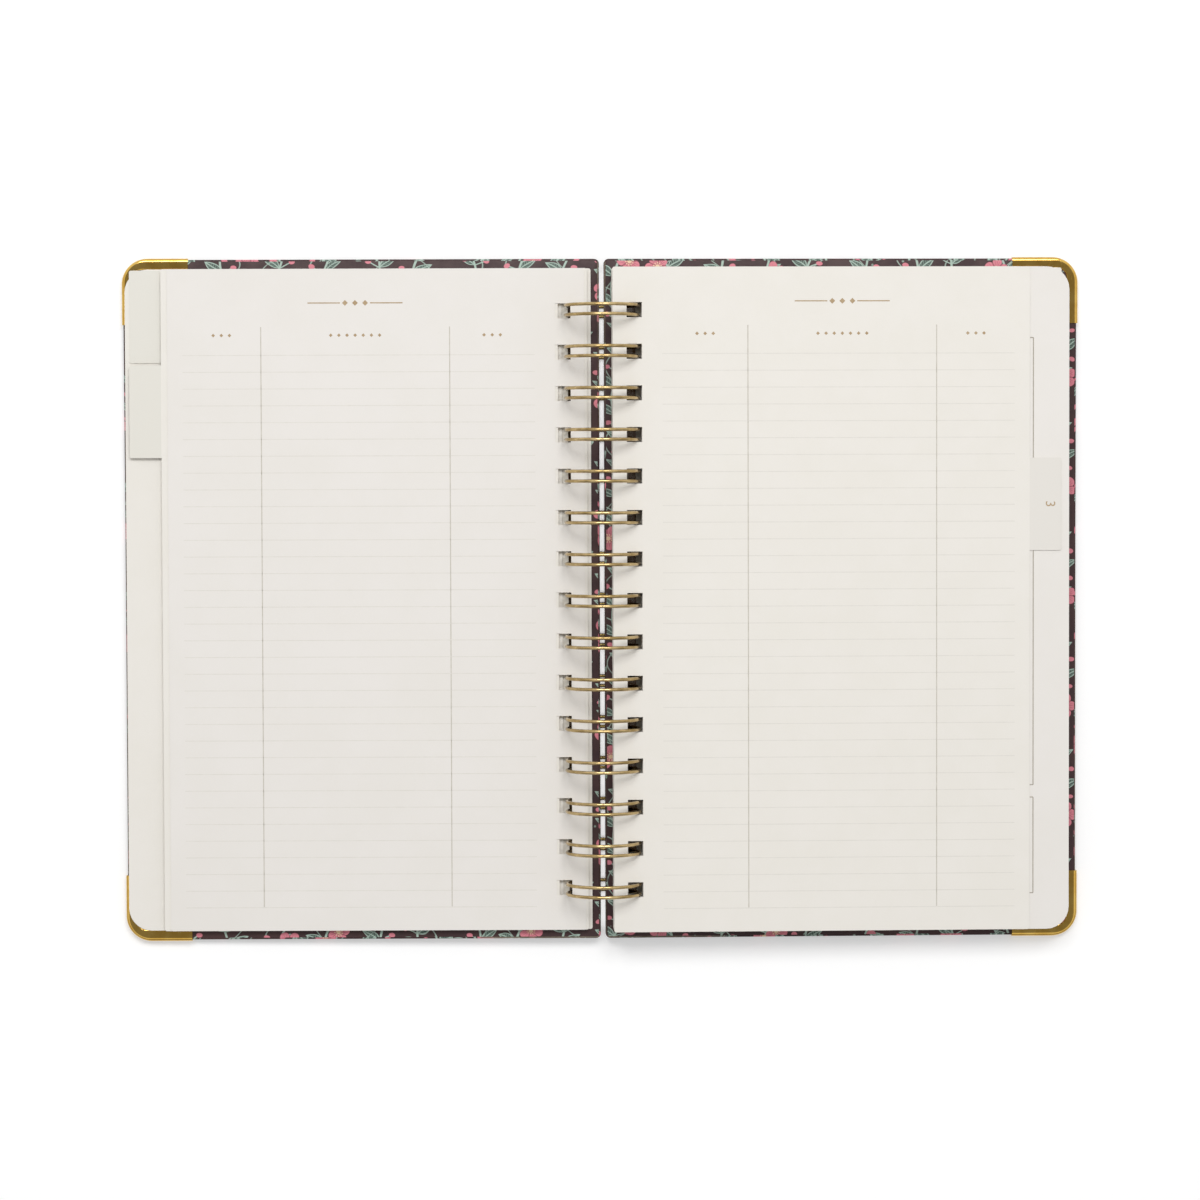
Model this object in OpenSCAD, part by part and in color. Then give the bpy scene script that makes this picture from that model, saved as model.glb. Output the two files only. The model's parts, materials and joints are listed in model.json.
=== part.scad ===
// Undated planner lying open: two covered boards with metal corners, tabbed leaves, twin-loop wire.
// The spine runs along Y and page tops are at +Y. The table is z = 0, the origin is mid spine on it.
// Each half is drawn flat around the axis of the loops, for the right side, with its spine at low x.
// The left half is its mirror image. Both halves then droop until their metal corners meet the table.

/* [Cover] */
// Width of a cover, from spine edge to fore edge
cover_w = 146.5; // [120:0.5:220]
// Height of a cover
cover_h = 210; // [150:0.5:300]
// Thickness of the bare board
board_t = 2; // [1:0.1:4]
// Thickness of the printed wrap around the board
wrap_t = 0.2; // [0.1:0.05:0.5]
// Width of the wrap's turn-in on the inside of the board
turn_in = 14; // [12:0.5:25]
// Thickness of the endpaper pasted over the turn-ins
endpaper_t = 0.15; // [0.1:0.05:0.25]
// Distance from the cover's edge to the endpaper's edge
endpaper_margin = 4; // [3.5:0.1:6]
// Gap between the two covers at the spine
spine_gap = 1.7; // [0.6:0.1:4]
// Corner radius of a cover at the fore edge
fore_r = 7.5; // [5:0.5:12]
// Corner radius of a cover at the spine
spine_r = 1.5; // [0.5:0.1:3]

/* [Metal corners] */
// Thickness of the corner's sheet metal
metal_t = 0.4; // [0.3:0.05:0.8]
// Length of a corner's arms along the cover's edges
corner_arm = 20; // [14:0.5:30]
// Width of the flange that folds over the cover
corner_band = 3.2; // [2:0.1:3.5]
// Fillet at the inner corner of the flange
corner_fillet = 2.6; // [1:0.1:4]

/* [Leaves] */
// Distance from the cover's top or bottom edge to the leaves
leaf_margin = 3; // [1:0.1:6]
// How much narrower than a cover the first leaf is
first_leaf_trim = 3.2; // [3:0.1:8]
// How much narrower than a cover the other wide leaves are
wide_trim = 6.1; // [5:0.1:12]
// Distance from a wide page's fore edge back to the tabs' edge
tab_recess = 2.4; // [0.5:0.1:5]
// How far a tab stands out of its leaf
tab_out = 9.8; // [6:0.1:16]
// How much wider than a page the front tab leaves are cut
front_tab_extra = 2.7; // [0:0.1:3.5]
// Number of tab positions down the fore edge
tab_count = 7; // [5:1:9]
// Space between neighbouring tabs
tab_space = 0.7; // [0.2:0.1:3]
// Corner radius of a wide leaf at the fore edge
leaf_r = 7; // [4:0.5:12]
// Corner radius of a trimmed leaf and of a tab
trim_r = 0.6; // [0.5:0.1:3]
// Thickness of the first and last leaf
end_leaf_t = 0.35; // [0.2:0.05:0.8]
// Thickness of a tab leaf
tab_leaf_t = 0.3; // [0.2:0.05:0.6]
// Thickness of a single page
page_t = 0.15; // [0.1:0.05:0.3]
// Thickness of the pages between the two tabs at the front
front_pages_t = 1; // [0.4:0.1:4]
// Thickness of one month's pages
month_pages_t = 1.1; // [0.5:0.1:2]
// Clearance between pieces that turn past each other
turn_gap = 0.1; // [0.05:0.05:0.3]

/* [Wire binding] */
// Diameter of the wire
wire_d = 1.05; // [0.7:0.05:1.4]
// Distance from one pair of loops to the next
loop_pitch = 12.7; // [9:0.1:16]
// Distance between the two strands of a pair
strand_pitch = 3; // [2.4:0.1:4]
// Least distance from a leaf's end to the middle of the first pair
loop_margin = 12; // [8:0.5:30]
// Room between a closed cover and the middle of the wire around it
loop_slack = 2.05; // [1.5:0.05:4]
// Angle of the wire's seam, below the back cover
seam_angle = -65; // [-75:1:-60]
// Gap between the loops' tips and the seam
tip_gap = 1.2; // [0.8:0.1:3]
// Bend radius where a strand leaves the seam
bend_r = 1.2; // [0.8:0.1:2]
// Length of a hole beyond what the wire fills, across the spine
hole_slack = 2; // [1.5:0.1:4]
// Height of a hole beyond what the two strands fill, along the spine
hole_slack_y = 0.55; // [0.4:0.05:1.5]
// Distance from the middle of a leaf's holes to its spine edge
hole_inset = 6.6; // [5.5:0.1:9]
// Clearance between the wire and a hole that it lies against
hole_clear = 0.35; // [0.3:0.05:0.6]

/* [Hidden] */

// Month sections, each a tab leaf on its pages
months = 6;
// Tab position of the leaf on top of the right half
top_tab = 3;
// Clearance between the two halves when the planner is closed
closed_gap = 2 * turn_gap;
// Longest straight piece in a rounded corner
arc_run = 1.8;

// Cover thickness without and with the metal flanges and the leaves' clearance
border_t = board_t + 2 * wrap_t;
cover_room = border_t + metal_t + turn_gap;

// Thickness of the leaves on the left and on the right
front_t = end_leaf_t + 2 * tab_leaf_t + front_pages_t;
left_t = front_t + turn_gap + page_t;
month_t = month_pages_t + tab_leaf_t;
block_t = end_leaf_t + months * month_t + page_t;
right_t = block_t + turn_gap + tab_leaf_t;

// Half the thickness of the closed planner: the distance from the loops' axis to a cover's outside
half_t = (2 * cover_room + left_t + right_t + closed_gap) / 2;

// Levels around the axis of the loops
board_z = -half_t + wrap_t;
border_z = -half_t + border_t;
leaf_z = -half_t + cover_room;
left_page_z = leaf_z + front_t + turn_gap;
planner_z = leaf_z + end_leaf_t + months * month_t;
right_page_z = leaf_z + block_t + turn_gap;

// Loops: radius of the wire's middle, and height of their axis when they lie on the table
wire_r = wire_d / 2;
loop_r = half_t + metal_t + loop_slack;
axis_z = loop_r + wire_r;

// Distance of the wire from the spine's middle plane at a level
function wire_x(z) = sqrt(loop_r * loop_r - z * z);

// Holes: covers and the first leaf have them in the middle of the wire's reach, the block lies pushed in
// against the wire, and the front tab leaves and the page on them lie pulled out against it
hole_w = loop_r - wire_x(leaf_z) + wire_d + hole_slack;
hole_h = strand_pitch + wire_d + hole_slack_y;
cover_hole_x = (wire_x(-half_t) + wire_x(border_z + endpaper_t)) / 2;
end_hole_x = (wire_x(leaf_z) + wire_x(left_page_z)) / 2;
out_hole_x = wire_x(leaf_z + end_leaf_t) - wire_r - hole_clear + hole_w / 2;
page_hole_x = wire_x(left_page_z) - wire_r - hole_clear + hole_w / 2;
in_hole_x = loop_r + wire_r + hole_clear - hole_w / 2;

// Outlines
cover_x = spine_gap / 2;
fore_x = cover_x + cover_w;
leaf_h = cover_h - 2 * leaf_margin;
first_leaf_w = cover_w - first_leaf_trim;
wide_w = cover_w - wide_trim;
trim_w = wide_w - tab_recess - tab_out;
tab_pitch = leaf_h / tab_count;

// Droop of a half about the axis, where the corner's lower edge meets the table
corner_reach = fore_x + metal_t;
corner_drop = half_t + metal_t;
droop = asin(axis_z / norm([corner_reach, corner_drop])) - atan2(corner_drop, corner_reach);

// Loop pairs, evenly spread along the leaves
loop_pairs = floor((leaf_h - 2 * loop_margin) / loop_pitch) + 1;
function pair_y(i) = (i - (loop_pairs - 1) / 2) * loop_pitch;

wrap_colour = "#3f2e30";
gold = "#b08d3e";
paper = "#ece9e3";
card = "#efece4";

// Points of an arc about [x, y] from angle a0 to a1
function arc(x, y, r, a0, a1) =
    let (n = max(3, ceil(PI / 2 * r / arc_run)))
        [for (i = [0 : n]) let (a = a0 + (a1 - a0) * i / n) [x + r * cos(a), y + r * sin(a)]];

// Sheet from x0 to x1, centred on the spine's middle, with its own radius at each long edge
function sheet_outline(x0, x1, h, r_spine, r_fore) = concat(
    arc(x1 - r_fore, h / 2 - r_fore, r_fore, 0, 90),
    arc(x0 + r_spine, h / 2 - r_spine, r_spine, 90, 180),
    arc(x0 + r_spine, r_spine - h / 2, r_spine, 180, 270),
    arc(x1 - r_fore, r_fore - h / 2, r_fore, 270, 360));

// Places a flat half on the table
module right_half() translate([0, 0, axis_z]) rotate([0, droop, 0]) children();
module left_half() translate([0, 0, axis_z]) rotate([0, -droop, 0]) mirror([1, 0, 0]) children();

// Flat layer of a given thickness
module layer(z, t) translate([0, 0, z]) linear_extrude(t) children();

// Row of square holes along the spine
module hole_row(x) for (i = [0 : loop_pairs - 1])
    translate([x, pair_y(i)]) square([hole_w, hole_h], center = true);

// Cover's outline, grown outwards by a distance
module cover_outline(grow = 0)
    polygon(sheet_outline(cover_x - grow, fore_x + grow, cover_h + 2 * grow, spine_r + grow, fore_r + grow));

// Area inside the turn-ins
module turn_in_window()
    polygon(sheet_outline(cover_x + turn_in, fore_x - turn_in, cover_h - 2 * turn_in, spine_r, spine_r));

module board() color("#8a7a66") layer(board_z, board_t) difference() {
    cover_outline(-wrap_t);
    hole_row(cover_hole_x);
}

module wrap() color(wrap_colour) difference() {
    layer(-half_t, border_t) difference() {
        cover_outline();
        hole_row(cover_hole_x);
    }
    layer(board_z, board_t) cover_outline(-wrap_t);
    layer(board_z + board_t / 2, border_t) turn_in_window();
}

module endpaper() color(paper) union() {
    layer(board_z + board_t, wrap_t) turn_in_window();
    layer(border_z, endpaper_t) difference() {
        polygon(sheet_outline(cover_x + endpaper_margin, fore_x - endpaper_margin,
            cover_h - 2 * endpaper_margin, spine_r, fore_r));
        hole_row(cover_hole_x);
    }
}

// Folded corner at the fore edge's top: a rim with a flange on both faces of the cover
module metal_corner() color(gold) difference() {
    layer(-half_t - metal_t, border_t + 2 * metal_t) difference() {
        intersection() {
            cover_outline(metal_t);
            translate([fore_x - corner_arm, cover_h / 2 - corner_arm]) square(corner_arm + metal_t);
        }
        polygon(sheet_outline(cover_x, fore_x - corner_band,
            cover_h - 2 * corner_band, spine_r, corner_fillet));
    }
    layer(-half_t, border_t) cover_outline();
}

// Leaf of full width with rounded fore corners
module wide_leaf(z, t, hole_x, w) layer(z, t) difference() {
    polygon(sheet_outline(hole_x - hole_inset, hole_x - hole_inset + w, leaf_h, trim_r, leaf_r));
    hole_row(hole_x);
}

// Leaf cut back to leave room for the tabs
module trimmed_outline(hole_x, extra = 0)
    polygon(sheet_outline(hole_x - hole_inset, hole_x - hole_inset + trim_w + extra, leaf_h, trim_r, trim_r));

module trimmed_leaf(z, t, hole_x) layer(z, t) difference() {
    trimmed_outline(hole_x);
    hole_row(hole_x);
}

// Trimmed leaf with a tab at one position, counted from the top
module tab_leaf(z, hole_x, position, extra = 0) layer(z, tab_leaf_t) difference() {
    edge_x = hole_x - hole_inset + trim_w + extra;
    union() {
        trimmed_outline(hole_x, extra);
        translate([0, leaf_h / 2 - (position - 0.5) * tab_pitch])
            polygon(sheet_outline(edge_x - tab_out, edge_x + tab_out, tab_pitch - tab_space, trim_r, trim_r));
    }
    hole_row(hole_x);
}

// Level of a month's pages, counted from the top of the stack
function month_z(i) = planner_z - i * month_t;

module month_pages(i) color(paper) right_half() trimmed_leaf(month_z(i), month_pages_t, in_hole_x);
module month_tab(i) color(card) right_half() tab_leaf(month_z(i) + month_pages_t, in_hole_x, i);

// Wire's path on the unrolled cylinder: distance round the loops from the seam, and place along the spine
strand_steps = 17;
bend_steps = 3;
tip_steps = 4;
tip_r = strand_pitch / 2;
tip_u = 2 * PI * loop_r - wire_d - tip_gap - tip_r;
end_run = 1.5 * wire_d;

function bend_points(y, side, out) = [
    for (i = [0 : bend_steps])
        let (a = 90 * (out ? bend_steps - i : i) / bend_steps)
            [bend_r * (1 - cos(a)), y + side * (tip_r + bend_r * (1 - sin(a)))]];
function strand_points(y, side, back) = [
    for (i = [1 : strand_steps - 1])
        let (k = back ? strand_steps - i : i)
            [bend_r + (tip_u - bend_r) * k / strand_steps, y + side * tip_r]];
function tip_points(y) = [
    for (i = [0 : tip_steps])
        let (a = 180 * i / tip_steps)
            [tip_u + tip_r * sin(a), y - tip_r * cos(a)]];
function pair_points(y) = concat(
    bend_points(y, -1, false),
    strand_points(y, -1, false),
    tip_points(y),
    strand_points(y, 1, true),
    bend_points(y, 1, true));
function wire_path() = concat(
    [[0, pair_y(0) - tip_r - bend_r - end_run]],
    [for (i = [0 : loop_pairs - 1]) each pair_points(pair_y(i))],
    [[0, pair_y(loop_pairs - 1) + tip_r + bend_r + end_run]]);

// Point on the loops' cylinder, and its outward direction
function round_angle(u) = seam_angle + u / loop_r * 180 / PI;
function outward(u) = [cos(round_angle(u)), 0, sin(round_angle(u))];
function on_loops(p) = loop_r * outward(p[0]) + [0, p[1], axis_z];
function unit(v) = v / norm(v);

wire_sides = 6;
module tube(path) {
    centres = [for (p = path) on_loops(p)];
    last = len(path) - 1;
    points = [
        for (i = [0 : last])
            let (along = unit(centres[min(i + 1, last)] - centres[max(i - 1, 0)]))
                let (up = outward(path[i][0]))
                    let (across = unit(cross(along, up)))
                        for (k = [0 : wire_sides - 1])
                            let (turn = 360 * k / wire_sides)
                                centres[i] + wire_r * (cos(turn) * up + sin(turn) * across)];
    walls = [
        for (i = [0 : last - 1])
            for (k = [0 : wire_sides - 1])
                let (a = i * wire_sides + k)
                    let (b = i * wire_sides + (k + 1) % wire_sides)
                        each [[a, b, b + wire_sides], [a, b + wire_sides, a + wire_sides]]];
    first_cap = [for (k = [1 : wire_sides - 2]) [0, k + 1, k]];
    end = last * wire_sides;
    last_cap = [for (k = [1 : wire_sides - 2]) [end, end + k, end + k + 1]];
    polyhedron(points, concat(walls, first_cap, last_cap));
}

// Least gap of the wire to itself, measured from the points of one pair to the runs of it and its neighbour
function run_distance(p, a, b) =
    let (t = max(0, min(1, (p - a) * (b - a) / ((b - a) * (b - a)))))
        norm(p - a - t * (b - a));
function least_gap() =
    let (route = [for (p = concat(pair_points(pair_y(0)), pair_points(pair_y(1)))) on_loops(p)])
        let (apart = ceil(PI * tip_r / wire_d) + tip_steps)
            min([
                for (i = [0 : len(route) / 2 - 1])
                    for (k = [i + apart : len(route) - 2])
                        run_distance(route[i], route[k], route[k + 1])]) - wire_d;

module twin_loop_wire() {
    echo(wire_least_gap_to_itself_mm = least_gap());
    color(gold) tube(wire_path());
}

module front_board() left_half() board();
module front_wrap() left_half() wrap();
module front_endpaper() left_half() endpaper();
module front_top_corner() left_half() metal_corner();
module front_bottom_corner() left_half() mirror([0, 1, 0]) metal_corner();
module front_leaf() color(card) left_half() wide_leaf(leaf_z, end_leaf_t, end_hole_x, first_leaf_w);
module tab_leaf_1() color(card) left_half() tab_leaf(leaf_z + end_leaf_t, out_hole_x, 1, front_tab_extra);
module front_pages() color(paper) left_half()
    trimmed_leaf(leaf_z + end_leaf_t + tab_leaf_t, front_pages_t, out_hole_x);
module tab_leaf_2() color(card) left_half()
    tab_leaf(leaf_z + front_t - tab_leaf_t, out_hole_x, 2, front_tab_extra);
module left_page() color(paper) left_half() trimmed_leaf(left_page_z, page_t, page_hole_x);

module back_board() right_half() board();
module back_wrap() right_half() wrap();
module back_endpaper() right_half() endpaper();
module back_top_corner() right_half() metal_corner();
module back_bottom_corner() right_half() mirror([0, 1, 0]) metal_corner();
module back_leaf() color(card) right_half() wide_leaf(leaf_z, end_leaf_t, in_hole_x, wide_w);
module planner_leaf() color(paper) right_half() wide_leaf(planner_z, page_t, in_hole_x, wide_w);
module tab_leaf_3() color(card) right_half() tab_leaf(right_page_z, in_hole_x, top_tab);

twin_loop_wire();
front_board();
front_wrap();
front_endpaper();
front_top_corner();
front_bottom_corner();
front_leaf();
tab_leaf_1();
front_pages();
tab_leaf_2();
left_page();
back_board();
back_wrap();
back_endpaper();
back_top_corner();
back_bottom_corner();
back_leaf();
month_pages(1);  // month_pages_1
month_pages(2);  // month_pages_2
month_pages(3);  // month_pages_3
month_pages(4);  // month_pages_4
month_pages(5);  // month_pages_5
month_pages(6);  // month_pages_6
month_tab(1);  // month_tab_1
month_tab(2);  // month_tab_2
month_tab(3);  // month_tab_3
month_tab(4);  // month_tab_4
month_tab(5);  // month_tab_5
month_tab(6);  // month_tab_6
planner_leaf();
tab_leaf_3();
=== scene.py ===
import json
import math
from functools import partialmethod
from types import SimpleNamespace

import bmesh
import bpy
from mathutils import Matrix, Vector
from mathutils.geometry import delaunay_2d_cdt


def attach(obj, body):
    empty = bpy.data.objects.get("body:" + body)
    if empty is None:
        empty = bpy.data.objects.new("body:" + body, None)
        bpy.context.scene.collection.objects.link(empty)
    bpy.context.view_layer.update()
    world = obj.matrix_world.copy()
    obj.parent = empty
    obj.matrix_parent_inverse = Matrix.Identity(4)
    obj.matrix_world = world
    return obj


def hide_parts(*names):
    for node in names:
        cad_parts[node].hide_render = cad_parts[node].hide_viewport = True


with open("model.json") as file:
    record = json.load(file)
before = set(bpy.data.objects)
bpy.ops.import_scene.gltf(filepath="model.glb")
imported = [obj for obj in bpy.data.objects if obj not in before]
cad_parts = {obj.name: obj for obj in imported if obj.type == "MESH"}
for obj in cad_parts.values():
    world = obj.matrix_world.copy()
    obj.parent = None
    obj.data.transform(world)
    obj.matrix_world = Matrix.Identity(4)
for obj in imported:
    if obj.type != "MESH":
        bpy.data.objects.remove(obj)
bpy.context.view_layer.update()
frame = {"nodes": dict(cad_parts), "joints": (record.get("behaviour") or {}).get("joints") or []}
scene = bpy.context.scene
weldDistance = 1e-7
flatTolerance = 1e-9
print("planner: frame loaded,", len(frame["nodes"]), "pieces")

# Each half of the planner is flat around the loops' axis, and droops a little to the table.
hinges = {joint["name"]: joint for joint in frame["joints"]}
axisZ = hinges["front_cover_hinge"]["pos_m"][2]
droop = math.radians((hinges["front_cover_hinge"]["range_deg"][1] - 180) / 2)
axisUp = Matrix.Translation((0, 0, axisZ))
halves = {
    "back": axisUp @ Matrix.Rotation(droop, 4, "Y"),
    "front": axisUp @ Matrix.Rotation(-droop, 4, "Y") @ Matrix.Scale(-1, 4, (1, 0, 0)),
}


def flatBox(node, half):
    # a CAD piece's box in its half's flat layout, with the spine at low x
    flatten = halves[half].inverted()
    points = [flatten @ vertex.co for vertex in frame["nodes"][node].data.vertices]
    low = Vector([min(point[i] for point in points) for i in range(3)])
    high = Vector([max(point[i] for point in points) for i in range(3)])
    return low, high


def sweep(angle, steps):
    # even steps from 0 to an angle in degrees, as radians
    return [math.radians(angle * i / steps) for i in range(steps + 1)]


def addObject(name, mesh, material=None):
    if material:
        mesh.materials.clear()
        mesh.materials.append(material)
    piece = bpy.data.objects.new(name, mesh)
    scene.collection.objects.link(piece)
    return piece


def meshFrom(name, bm, half=None):
    # moves a flat layout to its half; the front half is a mirror image, so its faces turn round
    if half:
        bm.transform(halves[half])
    if half == "front":
        bmesh.ops.reverse_faces(bm, faces=bm.faces)
    mesh = bpy.data.meshes.new(name)
    bm.to_mesh(mesh)
    bm.free()
    return mesh


def settle(piece, body, slotName, *nodes):
    # hands a finished piece to its body, with the CAD nodes that it stands for
    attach(piece, body)
    if nodes:
        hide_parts(*nodes)
    return piece


def plainMesh(piece):
    # the evaluated shape
    bpy.context.view_layer.update()
    graph = bpy.context.evaluated_depsgraph_get()
    return bpy.data.meshes.new_from_object(
        piece.evaluated_get(graph), preserve_all_data_layers=True, depsgraph=graph)


def applied(piece):
    # keeps the evaluated shape, with the modifiers removed
    mesh = plainMesh(piece)
    piece.modifiers.clear()
    piece.data = mesh
    return piece


def thicken(piece, thickness):
    # gives a skin its thickness on the inside
    skin = piece.modifiers.new("skin", "SOLIDIFY")
    skin.thickness = thickness
    skin.offset = -1
    return applied(piece)


def smooth(piece, angle):
    # smooth faces, with the edges sharper than the angle kept
    bm = bmesh.new()
    bm.from_mesh(piece.data)
    for face in bm.faces:
        face.smooth = True
    for edge in bm.edges:
        edge.smooth = len(edge.link_faces) == 2 and edge.calc_face_angle(0) < math.radians(angle)
    bm.to_mesh(piece.data)
    bm.free()


def colour(text, alpha=1.0):
    # a screen colour such as "#ece9e3" as linear values
    values = [int(text[i:i + 2], 16) / 255 for i in (1, 3, 5)]
    return [v / 12.92 if v <= 0.04045 else ((v + 0.055) / 1.055) ** 2.4 for v in values] + [alpha]


# Node helpers
def feed(tree, socket, value):
    if isinstance(value, bpy.types.NodeSocket):
        tree.links.new(value, socket)
    else:
        socket.default_value = value


def addNode(tree, kind, sockets, **settings):
    node = tree.nodes.new(kind)
    for name, value in settings.items():
        setattr(node, name, value)
    for key, value in sockets.items():
        feed(tree, node.inputs[key], value)
    return node


def calc(tree, operation, *values):
    return addNode(tree, "ShaderNodeMath", dict(enumerate(values)), operation=operation).outputs[0]


def blendColour(tree, factor, first, second):
    # the colour sockets come after those of the node's other data types
    sockets = {0: factor, 6: first, 7: second}
    return addNode(tree, "ShaderNodeMix", sockets, data_type="RGBA").outputs[2]


def noise(tree, vector, scale, detail, roughness=0.5):
    sockets = {"Vector": vector, "Scale": scale, "Detail": detail, "Roughness": roughness}
    return addNode(tree, "ShaderNodeTexNoise", sockets).outputs[0]


def ramp(tree, value, low, high, lowOut=0.0, highOut=1.0):
    sockets = dict(enumerate((value, low, high, lowOut, highOut)))
    return addNode(tree, "ShaderNodeMapRange", sockets, interpolation_type="SMOOTHSTEP").outputs[0]


def newTree(kind, name, inputs, outputs):
    # a node group with the names, types and values of its inputs, and the names and types of its outputs
    tree = bpy.data.node_groups.new(name, kind)
    for label, socketType, value in inputs:
        socket = tree.interface.new_socket(label, in_out="INPUT", socket_type="NodeSocket" + socketType)
        if value is not None:
            socket.default_value = value
    for label, socketType in outputs:
        tree.interface.new_socket(label, in_out="OUTPUT", socket_type="NodeSocket" + socketType)
    return tree, tree.nodes.new("NodeGroupInput").outputs, tree.nodes.new("NodeGroupOutput").inputs


def placeGroup(tree, group, **values):
    return addNode(tree, "ShaderNodeGroup", values, node_tree=group).outputs


def newMaterial(name, roughness=0.5, metallic=0.0, specular=0.5):
    material = bpy.data.materials.new(name)
    material.use_nodes = True
    shader = material.node_tree.nodes["Principled BSDF"]
    sockets = {"Roughness": roughness, "Metallic": metallic, "Specular IOR Level": specular}
    for key, value in sockets.items():
        shader.inputs[key].default_value = value
    return material, material.node_tree, shader


def coords(tree, kind="Object"):
    return tree.nodes.new("ShaderNodeTexCoord").outputs[kind]


def axes(tree, vector):
    return addNode(tree, "ShaderNodeSeparateXYZ", {0: vector}).outputs


def bump(tree, shader, height, strength, distance):
    node = addNode(tree, "ShaderNodeBump", {"Strength": strength, "Distance": distance, "Height": height})
    tree.links.new(node.outputs["Normal"], shader.inputs["Normal"])


# Effects that several finishes share: detail and roughness of their noises, shares and contrasts
grainLook = {
    "mottle": (5.0, 0.6),
    "fibre": (2.0, 0.6),
    "mottleShare": 0.7,
    "fibreShare": 0.3,
    "contrast": (0.35, 0.65),
}
wearLook = {
    "cloud": (4.0, 0.6),
    "scratch": (2.0, 0.7),
    "stretch": (1.0, 0.12, 1.0),
    "toneContrast": (0.3, 0.7),
    "rubContrast": (0.45, 0.8),
    "scratchDepth": 0.25,
}


def paperGrainGroup(look):
    # soft mottling of pressed pulp, with fine fibres for the relief
    tree, source, sink = newTree(
        "ShaderNodeTree", "paperGrain",
        [("Vector", "Vector", None), ("Mottle Scale", "Float", 60.0), ("Fibre Scale", "Float", 2600.0)],
        [("Tone", "Float"), ("Height", "Float")])
    mottle = noise(tree, source["Vector"], source["Mottle Scale"], *look["mottle"])
    fibre = noise(tree, source["Vector"], source["Fibre Scale"], *look["fibre"])
    tone = calc(tree, "ADD", calc(tree, "MULTIPLY", mottle, look["mottleShare"]),
                calc(tree, "MULTIPLY", fibre, look["fibreShare"]))
    feed(tree, sink["Tone"], ramp(tree, tone, *look["contrast"]))
    feed(tree, sink["Height"], fibre)
    return tree


def metalWearGroup(look):
    # rubbed plating: cloudy tone, fine scratches along the piece, and a slight unevenness
    tree, source, sink = newTree(
        "ShaderNodeTree", "metalWear",
        [("Vector", "Vector", None), ("Cloud Scale", "Float", 220.0), ("Scratch Scale", "Float", 1800.0)],
        [("Tone", "Float"), ("Rub", "Float"), ("Height", "Float")])
    cloud = noise(tree, source["Vector"], source["Cloud Scale"], *look["cloud"])
    stretch = addNode(tree, "ShaderNodeMapping", {"Vector": source["Vector"], "Scale": look["stretch"]})
    scratch = noise(tree, stretch.outputs[0], source["Scratch Scale"], *look["scratch"])
    feed(tree, sink["Tone"], ramp(tree, cloud, *look["toneContrast"]))
    feed(tree, sink["Rub"], ramp(tree, scratch, *look["rubContrast"]))
    dents = calc(tree, "ADD", cloud, calc(tree, "MULTIPLY", scratch, look["scratchDepth"]))
    feed(tree, sink["Height"], dents)
    return tree


paperGrain = paperGrainGroup(grainLook)
metalWear = metalWearGroup(wearLook)

# How paper, the tabs' film, ink and plating take the light
surface = {
    "paperShine": 0.25,
    "paperRelief": 0.25,
    "cardShine": 0.3,
    "filmBlend": 0.0001,
    "filmPolish": 0.5,
    "filmRelief": 0.2,
    "inkShine": 0.2,
    "inkRoughness": 0.75,
    "inkMottle": 400.0,
    "goldRelief": 0.12,
    # the heights over which the painted shade low on the wire fades out
    "paintedShadeHeight": (0.0015, 0.004),
}


def grainOn(tree, mottle):
    return placeGroup(tree, paperGrain, Vector=coords(tree), **{"Mottle Scale": mottle})


def paperMaterial(name, light, shade, roughness, mottle, fibreDepth):
    material, tree, shader = newMaterial(name, roughness, specular=surface["paperShine"])
    grain = grainOn(tree, mottle)
    base = blendColour(tree, grain["Tone"], colour(shade), colour(light))
    feed(tree, shader.inputs["Base Color"], base)
    bump(tree, shader, grain["Height"], surface["paperRelief"], fibreDepth)
    return material


def tabMaterial(name, light, shade, film, roughness, mottle, fibreDepth, edge):
    # card whose tab, past the leaf's cut edge, is covered with a smooth film
    material, tree, shader = newMaterial(name, roughness, specular=surface["cardShine"])
    grain = grainOn(tree, mottle)
    away = calc(tree, "ABSOLUTE", axes(tree, coords(tree))[0])
    onTab = ramp(tree, away, edge - surface["filmBlend"], edge + surface["filmBlend"])
    card = blendColour(tree, grain["Tone"], colour(shade), colour(light))
    feed(tree, shader.inputs["Base Color"], blendColour(tree, onTab, card, colour(film)))
    polish = ramp(tree, onTab, 0.0, 1.0, roughness, surface["filmPolish"] * roughness)
    feed(tree, shader.inputs["Roughness"], polish)
    relief = ramp(tree, onTab, 0.0, 1.0, 1.0, surface["filmRelief"])
    height = calc(tree, "MULTIPLY", grain["Height"], relief)
    bump(tree, shader, height, surface["paperRelief"], fibreDepth)
    return material


def inkMaterial(name, tint, light):
    # printing ink that breaks up slightly on the paper's grain
    material, tree, shader = newMaterial(name, surface["inkRoughness"], specular=surface["inkShine"])
    tone = grainOn(tree, surface["inkMottle"])["Tone"]
    feed(tree, shader.inputs["Base Color"], blendColour(tree, tone, colour(tint), colour(light)))
    return material


def goldMaterial(name, bright, deep, polish, rubbed, dent, under=None):
    material, tree, shader = newMaterial(name, metallic=1.0)
    wear = placeGroup(tree, metalWear, Vector=coords(tree))
    plating = blendColour(tree, wear["Tone"], colour(deep), colour(bright))
    if under:
        # painted shade: darker colour low down, where the covers shade the lower strands of the wire
        height = axes(tree, coords(tree))[2]
        plating = blendColour(tree, ramp(tree, height, *surface["paintedShadeHeight"]), colour(under), plating)
    feed(tree, shader.inputs["Base Color"], plating)
    feed(tree, shader.inputs["Roughness"], ramp(tree, wear["Rub"], 0.0, 1.0, polish, rubbed))
    bump(tree, shader, wear["Height"], surface["goldRelief"], dent)
    return material


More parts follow.
